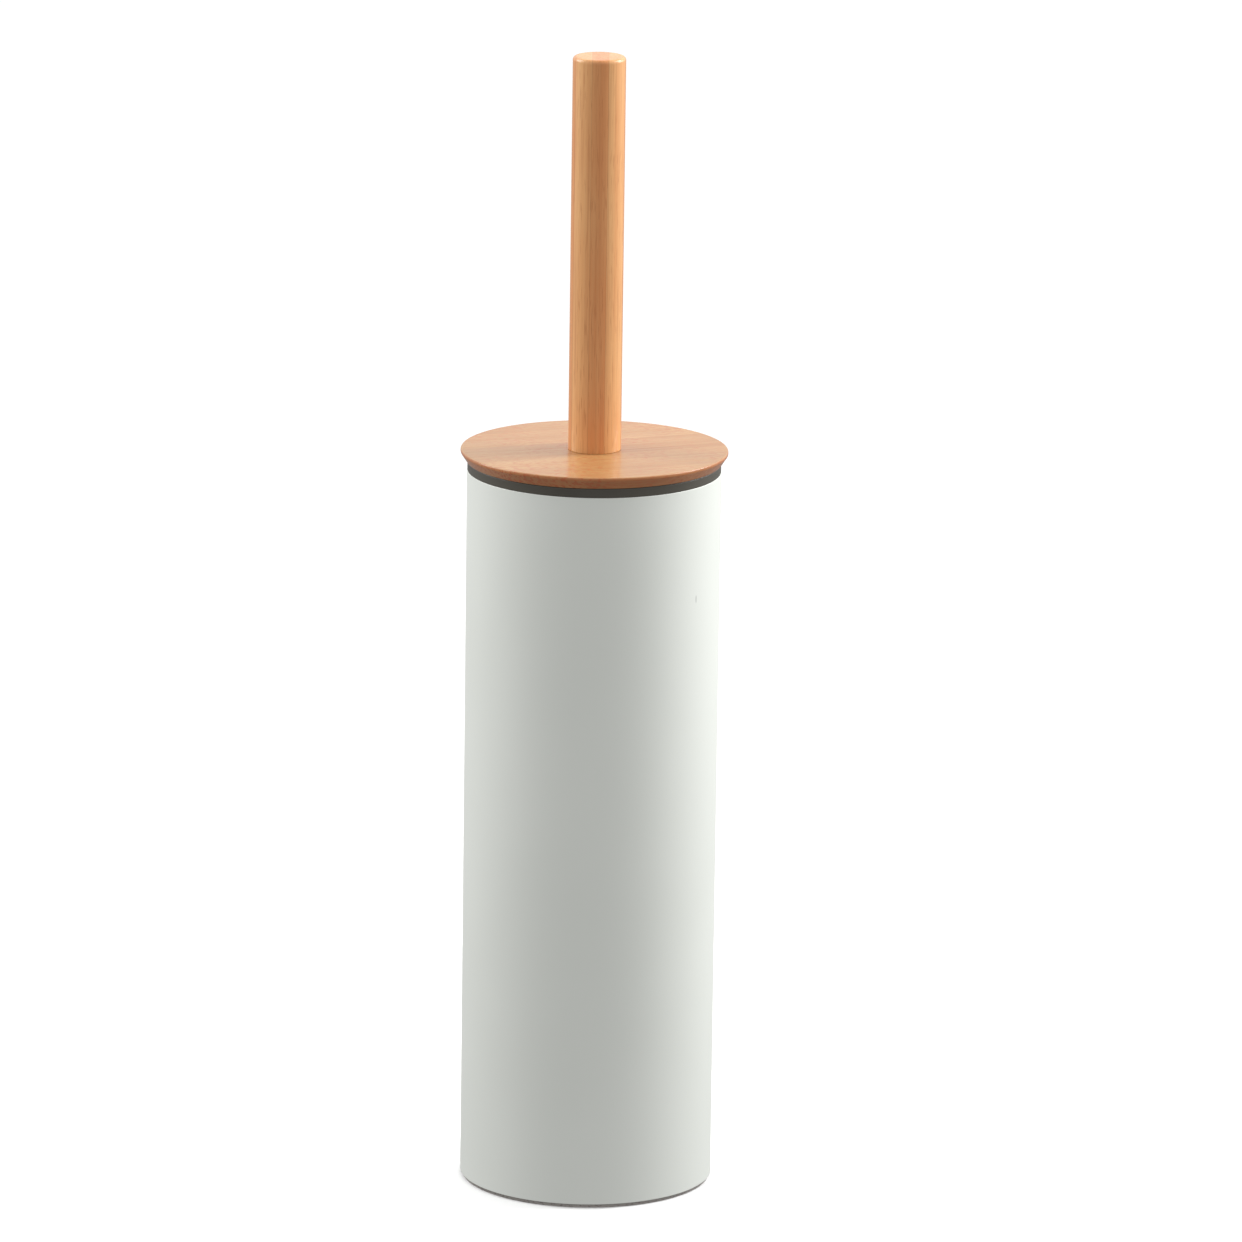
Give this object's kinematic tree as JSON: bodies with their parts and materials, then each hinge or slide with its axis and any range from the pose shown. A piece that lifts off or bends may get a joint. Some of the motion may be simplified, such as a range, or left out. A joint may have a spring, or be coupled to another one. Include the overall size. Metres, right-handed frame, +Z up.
{
  "type": "toilet brush holder",
  "caption": "Slim free-standing toilet brush holder: round coated-steel tube, lift-out dark liner, and a brush with bamboo lid and handle, steel stem and soft bristle head.",
  "frame": {"origin": "centre of the holder's footprint, on the surface it stands on", "axes": "+Z up along the axis of the tube, the liner and the brush; the object is round, so +X and +Y are arbitrary horizontal directions"},
  "size_m": [0.0884, 0.0884, 0.3802],
  "materials": {
    "white_powder_coat": "matte powder coat with a fine orange-peel texture",
    "base_sheet": "matte powder coat",
    "foot_pad": "matte closed-cell foam rubber",
    "liner_plastic": "satin moulded polypropylene",
    "bamboo": "satin clear lacquer over carbonised bamboo",
    "stainless": "satin, drawn along the tube",
    "plated_steel": "bright zinc plating",
    "head_plastic": "satin moulded nylon",
    "silicone": "soft matte silicone"
  },
  "bodies": {
    "holder": {"shell": "white_powder_coat", "base_pan": "base_sheet", "base_pad": "foot_pad"},
    "liner": {"liner": "liner_plastic"},
    "brush": {"lid": "bamboo", "handle": "bamboo", "hanger_bolt": "plated_steel", "stem_tube": "stainless", "stem_top_insert": "plated_steel", "stem_bottom_insert": "head_plastic", "brush_core": "head_plastic", "bristle_sleeve": "silicone"}
  },
  "joints": [
    {"name": "liner_lift", "type": "slide", "parent": "holder", "child": "liner", "axis": [0, 0, 1], "range_m": [0, 0.26]},
    {"name": "brush_lift", "type": "slide", "parent": "liner", "child": "brush", "axis": [0, 0, 1], "range_m": [0, 0.26]}
  ]
}
